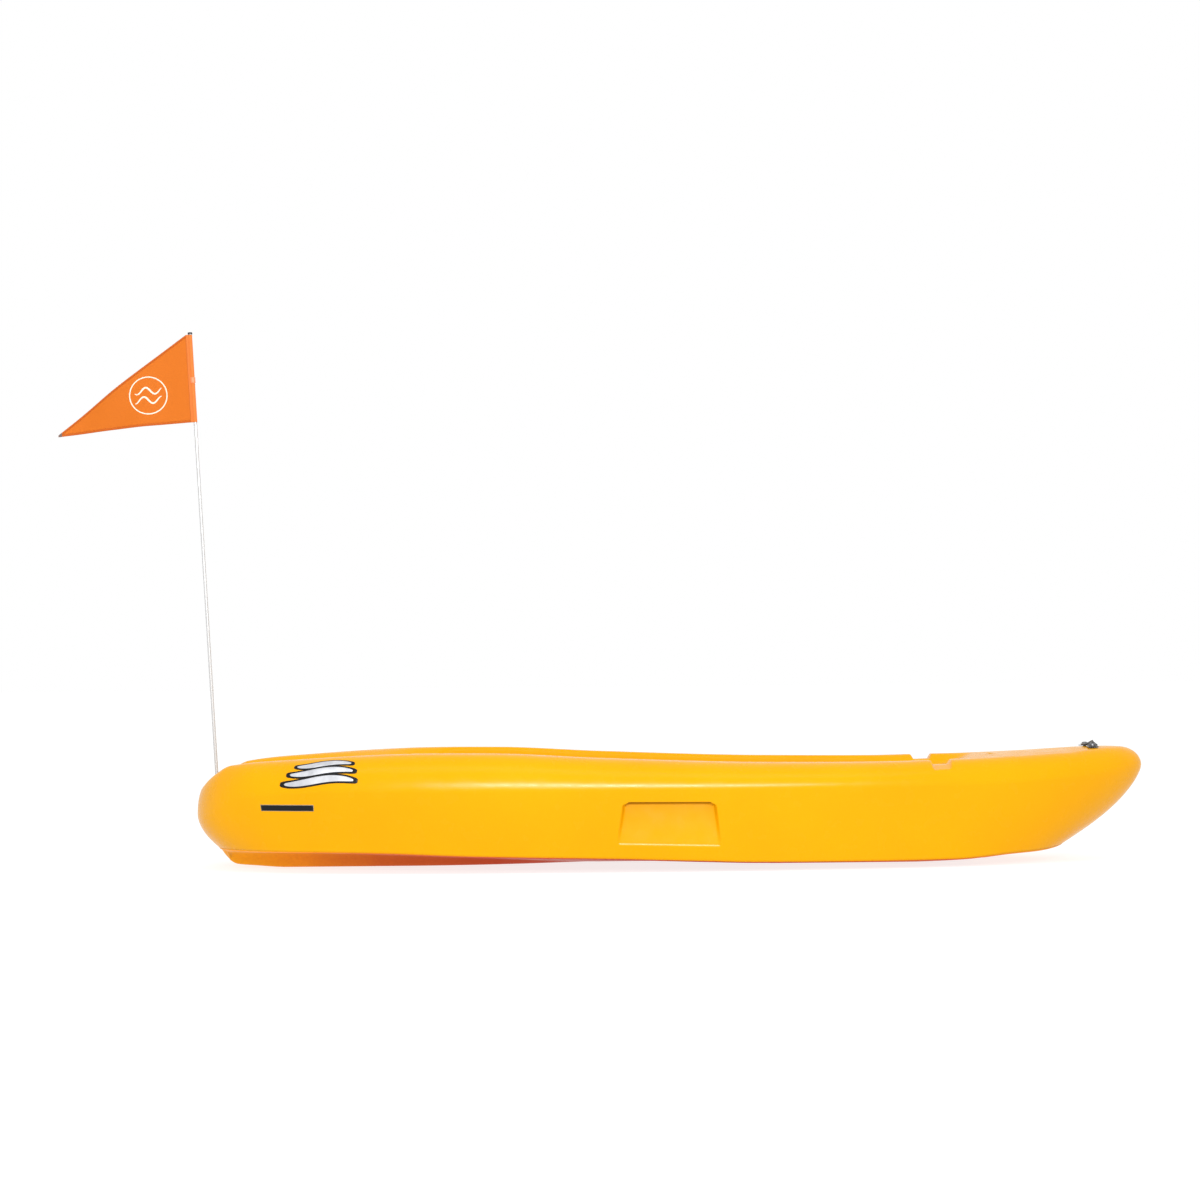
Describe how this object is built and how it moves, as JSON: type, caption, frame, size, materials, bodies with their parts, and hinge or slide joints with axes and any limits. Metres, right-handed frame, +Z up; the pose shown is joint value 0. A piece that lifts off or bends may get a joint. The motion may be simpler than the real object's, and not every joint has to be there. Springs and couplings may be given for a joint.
{
  "type": "kayak",
  "caption": "Child's sit-on-top kayak of welded plastic sheets, with a safety flag on a lift-out pole, a bow carry strap and a drain plug.",
  "frame": {"origin": "on the centreline at mid-length, on the ground that the keel and the fore bottom rest on; the flat middle of the bottom passes 6.5 mm above it", "axes": "+X to the bow, +Y to port, +Z up"},
  "size_m": [2.0971, 0.622, 1.0394],
  "materials": {
    "deck_plastic": "satin-gloss moulded polyethylene, bright yellow, with a fine pebble grain",
    "hull_plastic": "satin-gloss moulded polyethylene that fades from yellow at the stern to dark red amidships",
    "foam": "white closed-cell foam",
    "pole": "pale pultruded glass fibre rod",
    "black_plastic": "black moulded plastic",
    "flag_fabric": "thin bright orange woven polyester",
    "clip_plastic": "pale orange moulded clip",
    "seal_rubber": "soft black rubber",
    "webbing": "black woven polypropylene webbing",
    "steel": "stainless steel with a black oxide finish",
    "insert_brass": "knurled brass",
    "graphic_silver": "silver film graphic with a dark outline",
    "plate_black": "blank black film plate"
  },
  "bodies": {
    "root": {"deck_shell": "deck_plastic", "hull_shell": "hull_plastic", "foam_bow": "foam", "foam_stern": "foam", "flag_socket": "black_plastic", "drain_housing": "black_plastic", "handle_tab_starboard": "webbing", "handle_tab_port": "webbing", "handle_washer_starboard": "steel", "handle_washer_port": "steel", "handle_screw_starboard": "steel", "handle_screw_port": "steel", "handle_insert_starboard": "insert_brass", "handle_insert_port": "insert_brass", "graphic_starboard": "graphic_silver", "graphic_port": "graphic_silver", "serial_plate": "plate_black"},
    "pole": {"flag_pole": "pole", "flag_pole_cap": "black_plastic"},
    "flag": {"flag_cloth": "flag_fabric", "flag_clip": "clip_plastic"},
    "carry_strap": {"handle_loop": "webbing"},
    "drain_washer": {"drain_seal": "seal_rubber"},
    "plug": {"drain_plug": "black_plastic"}
  },
  "joints": [
    {"name": "flag_pole_lift", "type": "slide", "parent": "root", "child": "pole", "axis": [-0.0537, 0, 0.9986], "range_m": [0, 0.095]},
    {"name": "flag_swing", "type": "hinge", "parent": "pole", "child": "flag", "pos_m": [-0.88, 0, 0.178], "axis": [-0.0537, 0, 0.9986], "continuous": true},
    {"name": "carry_strap_swing", "type": "hinge", "parent": "root", "child": "carry_strap", "pos_m": [0.8125, 0, 0.2231], "axis": [0, 1, 0], "range_deg": [0, 100]},
    {"name": "drain_plug_rise", "type": "slide", "parent": "root", "child": "drain_washer", "axis": [0, 0, 1], "range_m": [0, 0.009]},
    {"name": "drain_plug_turn", "type": "hinge", "parent": "drain_washer", "child": "plug", "pos_m": [-0.835, 0, 0.16], "axis": [0, 0, 1], "range_deg": [0, 1080]}
  ],
  "couplings": [
    {"joint": "drain_plug_turn", "follows": "drain_plug_rise", "rad_per_m": 2094.4}
  ]
}
